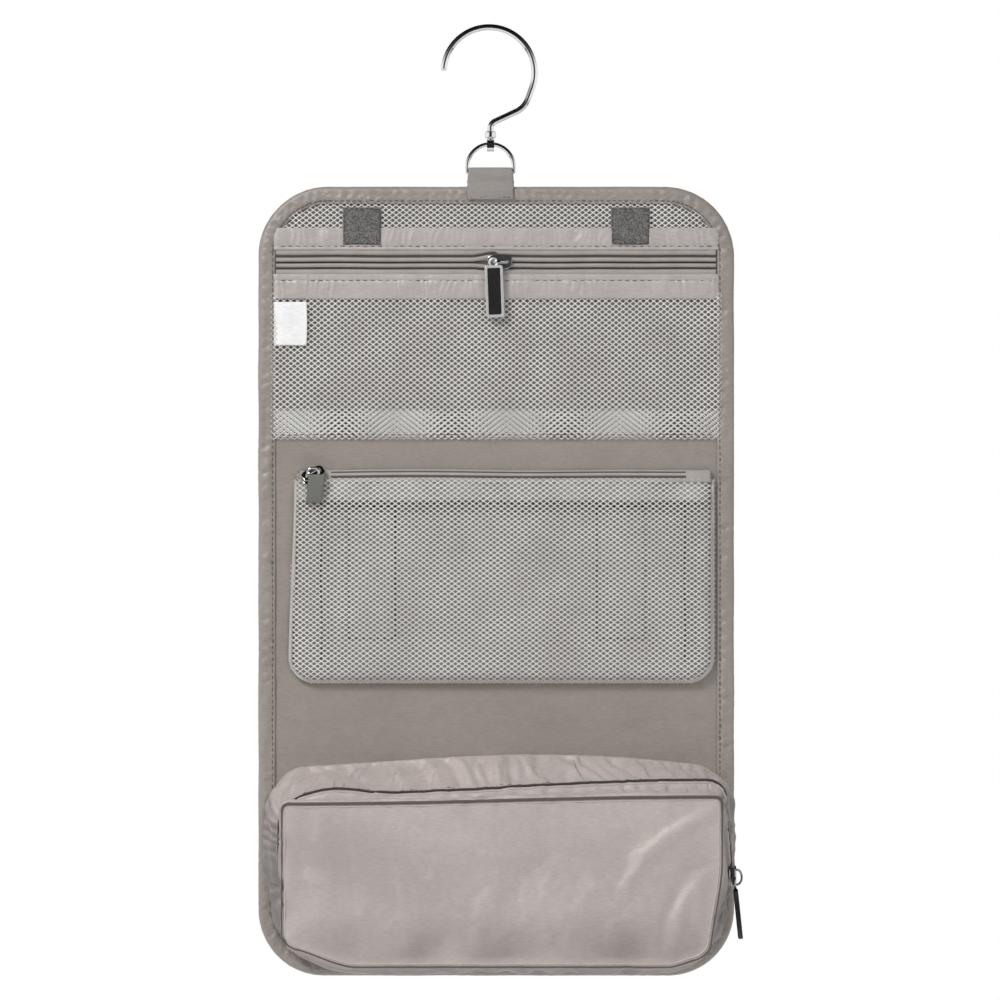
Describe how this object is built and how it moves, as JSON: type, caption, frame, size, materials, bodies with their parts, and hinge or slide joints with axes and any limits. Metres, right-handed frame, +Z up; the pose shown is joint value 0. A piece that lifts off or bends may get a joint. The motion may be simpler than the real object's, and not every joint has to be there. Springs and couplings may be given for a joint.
{
  "type": "hanging toiletry bag",
  "caption": "Fold-up hanging toiletry bag with a swivel hook, a zipped mesh pocket, a detachable mesh pouch and a deep zipped pocket on padded panels.",
  "frame": {"origin": "the point inside the top of the hook that rests on a rail, in line with the hook's stem", "axes": "+Z up along the hanging bag, +Y towards its back; the open front faces -Y"},
  "size_m": [0.2554, 0.0508, 0.5042],
  "materials": {
    "chrome_metal": "polished",
    "pull_insert_black": "satin",
    "pull_tag_cloth": "matte",
    "outer_cloth": "satin",
    "foam_padding": "matte",
    "lining_satin": "satin",
    "pocket_satin": "satin",
    "binding_tape": "satin",
    "white_mesh": "satin",
    "zip_tape": "matte",
    "hook_and_loop": "matte",
    "label_white": "satin"
  },
  "bodies": {
    "hook": {"hook": "chrome_metal"},
    "swivel": {"swivel_barrel": "chrome_metal", "swivel_yoke": "chrome_metal"},
    "ring": {"d_ring": "chrome_metal"},
    "top_section": {"top_shell": "outer_cloth", "top_foam": "foam_padding", "top_lining": "lining_satin", "top_binding": "binding_tape", "hanging_tab": "binding_tape", "top_mesh_strip": "white_mesh", "zip_facing_upper": "lining_satin", "top_zip_upper_tape": "zip_tape", "top_zip_lower_tape": "zip_tape", "zip_facing_lower": "lining_satin", "top_mesh_upper": "white_mesh", "top_fastener_pads": "hook_and_loop", "care_label": "label_white"},
    "top_slider": {"top_slider_body": "chrome_metal"},
    "top_pull": {"top_pull_frame": "chrome_metal", "top_pull_insert": "pull_insert_black"},
    "upper_spine": {"upper_spine_shell": "outer_cloth", "upper_spine_lining": "lining_satin", "upper_spine_binding": "binding_tape", "top_mesh_lower": "white_mesh"},
    "middle_section": {"middle_shell": "outer_cloth", "middle_foam": "foam_padding", "middle_lining": "lining_satin", "middle_binding": "binding_tape", "pouch_loop_strips": "hook_and_loop"},
    "pouch": {"pouch_hook_strips": "hook_and_loop", "pouch_back": "lining_satin", "pouch_front_mesh": "white_mesh", "pouch_seam_tape": "binding_tape", "pouch_zip_back_tape": "zip_tape", "pouch_zip_front_tape": "zip_tape"},
    "pouch_slider": {"pouch_slider_body": "chrome_metal"},
    "pouch_pull": {"pouch_pull_link": "chrome_metal", "pouch_pull_tag": "pull_tag_cloth"},
    "lower_spine": {"lower_spine_shell": "outer_cloth", "lower_spine_lining": "lining_satin", "lower_spine_binding": "binding_tape"},
    "bottom_section": {"bottom_shell": "outer_cloth", "bottom_foam": "foam_padding", "bottom_lining": "lining_satin", "bottom_binding": "binding_tape", "back_fastener_patches": "hook_and_loop", "pocket_rear_gusset": "pocket_satin", "pocket_zip_rear_tape": "zip_tape"},
    "pocket_front": {"pocket_front_lower": "pocket_satin", "pocket_lower_gusset": "pocket_satin"},
    "pocket_flap": {"pocket_front_upper": "pocket_satin", "pocket_flap_gusset": "pocket_satin", "pocket_zip_front_tape": "zip_tape"},
    "pocket_slider": {"pocket_slider_body": "chrome_metal"},
    "pocket_pull": {"pocket_pull_frame": "chrome_metal", "pocket_pull_insert": "pull_insert_black"}
  },
  "joints": [
    {"name": "hook_swivel", "type": "hinge", "parent": "hook", "child": "swivel", "pos_m": [0, 0, -0.0555], "axis": [0, 0, 1], "continuous": true},
    {"name": "swivel_rock", "type": "hinge", "parent": "swivel", "child": "ring", "pos_m": [0, 0, -0.0604], "axis": [1, 0, 0], "range_deg": [-40, 40]},
    {"name": "ring_swing", "type": "hinge", "parent": "ring", "child": "top_section", "pos_m": [0, 0, -0.0758], "axis": [1, 0, 0], "range_deg": [-60, 60]},
    {"name": "top_slider_slide", "type": "slide", "parent": "top_section", "child": "top_slider", "axis": [1, 0, 0], "range_m": [-0.108, 0.104]},
    {"name": "top_pull_swing", "type": "hinge", "parent": "top_slider", "child": "top_pull", "pos_m": [0.005, -0.0068, -0.123], "axis": [1, 0, 0], "range_deg": [-170, 0]},
    {"name": "upper_fold_high", "type": "hinge", "parent": "top_section", "child": "upper_spine", "pos_m": [0.003, -0.0033, -0.1755], "axis": [-1, 0, 0], "range_deg": [0, 90]},
    {"name": "upper_fold_low", "type": "hinge", "parent": "upper_spine", "child": "middle_section", "pos_m": [0.003, -0.0033, -0.2295], "axis": [-1, 0, 0], "range_deg": [0, 90]},
    {"name": "pouch_liftoff", "type": "slide", "parent": "middle_section", "child": "pouch", "axis": [0, 1, 0], "range_m": [-0.08, 0]},
    {"name": "pouch_slider_slide", "type": "slide", "parent": "pouch", "child": "pouch_slider", "axis": [1, 0, 0], "range_m": [0, 0.19]},
    {"name": "pouch_pull_swing", "type": "hinge", "parent": "pouch_slider", "child": "pouch_pull", "pos_m": [-0.093, -0.011, -0.2334], "axis": [1, 0, 0], "range_deg": [-170, 0]},
    {"name": "lower_fold_high", "type": "hinge", "parent": "middle_section", "child": "lower_spine", "pos_m": [0.003, -0.0033, -0.3465], "axis": [-1, 0, 0], "range_deg": [0, 90]},
    {"name": "lower_fold_low", "type": "hinge", "parent": "lower_spine", "child": "bottom_section", "pos_m": [0.003, -0.0033, -0.3865], "axis": [-1, 0, 0], "range_deg": [0, 90]},
    {"name": "pocket_flatten", "type": "slide", "parent": "bottom_section", "child": "pocket_front", "axis": [0, 1, 0], "range_m": [0, 0.0161]},
    {"name": "pocket_flap_open", "type": "hinge", "parent": "pocket_front", "child": "pocket_flap", "pos_m": [0.003, -0.0475, -0.4415], "axis": [-1, 0, 0], "range_deg": [-100, 0]},
    {"name": "pocket_slider_slide", "type": "slide", "parent": "bottom_section", "child": "pocket_slider", "axis": [0, 0, 1], "range_m": [0, 0.036]},
    {"name": "pocket_pull_swing", "type": "hinge", "parent": "pocket_slider", "child": "pocket_pull", "pos_m": [0.13, -0.0243, -0.4502], "axis": [0, 1, 0], "range_deg": [-120, 0]}
  ],
  "couplings": [
    {"joint": "upper_fold_low", "follows": "upper_fold_high", "ratio": 1},
    {"joint": "lower_fold_low", "follows": "lower_fold_high", "ratio": 1},
    {"joint": "pocket_flatten", "follows": "lower_fold_high", "m_per_rad": 0.01018}
  ]
}
